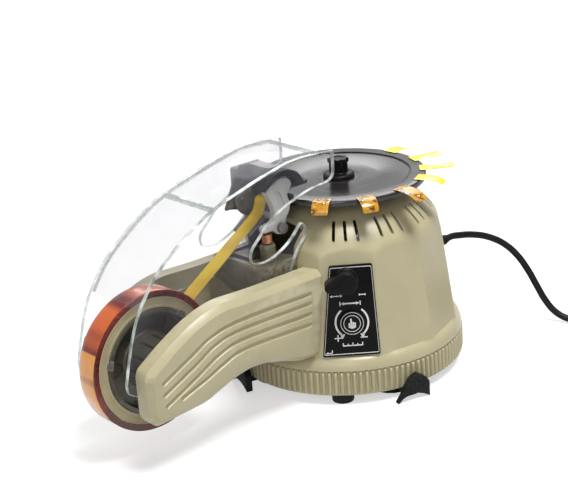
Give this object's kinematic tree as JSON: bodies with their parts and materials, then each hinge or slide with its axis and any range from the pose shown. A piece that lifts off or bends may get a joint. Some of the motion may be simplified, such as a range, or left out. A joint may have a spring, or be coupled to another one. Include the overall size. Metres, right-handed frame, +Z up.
{
  "type": "tape cutting machine",
  "caption": "Countertop electric tape dispenser: ribbed round base, turntable of cut strips, reel on side arms under a clear hinged cover, and a press and cutting head.",
  "frame": {"origin": "bottom centre of the machine's bounding box without the free cord, on the surface it stands on", "axes": "+Z up, +X from the tape reel towards the turntable, +Y away from the control panel's side"},
  "size_m": [0.4992, 0.3242, 0.1838],
  "materials": {
    "housing": "semi-matt warm grey moulding",
    "control_plate": "black printed plate",
    "circuit_board": "green board",
    "black_plastic": "satin black",
    "steel": "plain steel",
    "dark_plastic": "dark grey moulding",
    "light_plastic": "light grey moulding",
    "brass": "turned brass",
    "spring": "copper-coloured spring wire",
    "rubber": "black rubber",
    "turntable": "satin dark grey",
    "tape_core": "matt light grey core",
    "tape_film": "glossy amber film",
    "clear_cover": "clear acrylic",
    "cord": "black cord sheath"
  },
  "bodies": {
    "chassis": {"base_pan": "housing", "body_cover": "housing", "control_plate": "control_plate", "control_board": "circuit_board", "main_board": "circuit_board", "arm_near": "housing", "arm_far": "housing", "reel_shaft": "steel", "head_base": "housing", "head_bracket": "steel", "cutter_solenoid": "dark_plastic", "guide_plate": "dark_plastic", "lever_pin": "brass", "lever_spring": "spring", "tape_web": "tape_film", "gear_motor": "steel", "spindle_bearing": "brass", "switch_housing": "black_plastic", "rubber_foot_1": "rubber", "rubber_foot_2": "rubber", "rubber_foot_3": "rubber", "rubber_foot_4": "rubber", "suction_cup_1": "rubber", "suction_cup_2": "rubber", "suction_cup_3": "rubber", "suction_cup_4": "rubber", "cord_relief": "cord", "cord_lead": "cord", "cord_coil": "cord", "cord_tie": "black_plastic", "cord_plug": "cord"},
    "turntable": {"turntable_disc": "turntable", "turntable_spindle": "steel", "centre_knob": "black_plastic", "tape_piece_1": "tape_film", "tape_piece_2": "tape_film", "tape_piece_3": "tape_film", "tape_piece_4": "tape_film", "tape_piece_5": "tape_film", "tape_piece_6": "tape_film", "tape_piece_7": "tape_film"},
    "motor_pinion": {"drive_pinion": "brass"},
    "reel": {"reel_hub": "dark_plastic", "tape_core": "tape_core", "tape_roll": "tape_film", "core_catches": "dark_plastic"},
    "cover": {"cover_wall_near": "clear_cover", "cover_wall_far": "clear_cover", "cover_front_panel": "clear_cover", "cover_rear_panel": "clear_cover"},
    "lever": {"press_lever": "light_plastic", "lever_cap": "black_plastic"},
    "roller": {"press_roller": "rubber"},
    "feed": {"feed_roller": "dark_plastic"},
    "cutter": {"blade_carrier": "dark_plastic", "cutter_blade": "steel"},
    "width_dial": {"width_knob": "black_plastic"},
    "length_dial": {"length_ring": "black_plastic"},
    "button": {"enter_button": "black_plastic"},
    "rocker": {"power_rocker": "black_plastic"}
  },
  "joints": [
    {"name": "turntable_spin", "type": "hinge", "parent": "chassis", "child": "turntable", "pos_m": [0.0718, 0, 0.1502], "axis": [0, 0, 1], "continuous": true, "deforming": ["tape_piece_1", "tape_piece_2", "tape_piece_3", "tape_piece_4", "tape_piece_5", "tape_piece_6", "tape_piece_7"]},
    {"name": "pinion_spin", "type": "hinge", "parent": "chassis", "child": "motor_pinion", "pos_m": [0.1118, 0, 0.1], "axis": [0, 0, 1], "continuous": true},
    {"name": "reel_spin", "type": "hinge", "parent": "chassis", "child": "reel", "pos_m": [-0.1179, 0, 0.0654], "axis": [0, 1, 0], "continuous": true},
    {"name": "cover_hinge", "type": "hinge", "parent": "chassis", "child": "cover", "pos_m": [-0.1179, 0, 0.0654], "axis": [0, -1, 0], "range_deg": [0, 95]},
    {"name": "lever_lift", "type": "hinge", "parent": "chassis", "child": "lever", "pos_m": [-0.0052, 0, 0.1335], "axis": [0, -1, 0], "range_deg": [0, 5], "stiffness_Nm_per_rad": 0.2, "springref_deg": -14.32, "deforming": ["lever_spring"]},
    {"name": "press_roller_spin", "type": "hinge", "parent": "lever", "child": "roller", "pos_m": [0.01605, 0, 0.1546], "axis": [1, 0, 0], "continuous": true},
    {"name": "feed_roller_spin", "type": "hinge", "parent": "chassis", "child": "feed", "pos_m": [-0.0012, 0, 0.146], "axis": [0, 1, 0], "continuous": true},
    {"name": "cutter_drop", "type": "slide", "parent": "chassis", "child": "cutter", "axis": [0, 0, -1], "range_m": [0, 0.007], "stiffness_N_per_m": 60, "springref_m": -0.01},
    {"name": "width_turn", "type": "hinge", "parent": "chassis", "child": "width_dial", "pos_m": [0.02148, -0.05599, 0.09436], "axis": [-0.6447, -0.7549, 0.1205], "range_deg": [-135, 135]},
    {"name": "length_turn", "type": "hinge", "parent": "chassis", "child": "length_dial", "pos_m": [0.02094, -0.06062, 0.0625], "axis": [-0.6447, -0.7549, 0.1205], "continuous": true},
    {"name": "enter_press", "type": "slide", "parent": "length_dial", "child": "button", "axis": [0.6447, 0.7549, -0.1205], "range_m": [0, 0.0008], "stiffness_N_per_m": 400, "springref_m": -0.001},
    {"name": "power_tilt", "type": "hinge", "parent": "chassis", "child": "rocker", "pos_m": [0.12381, 0.06089, 0.05465], "axis": [-0.7604, 0.6494, 0], "range_deg": [-14, 0]}
  ],
  "couplings": [
    {"joint": "pinion_spin", "follows": "turntable_spin", "ratio": -3}
  ]
}
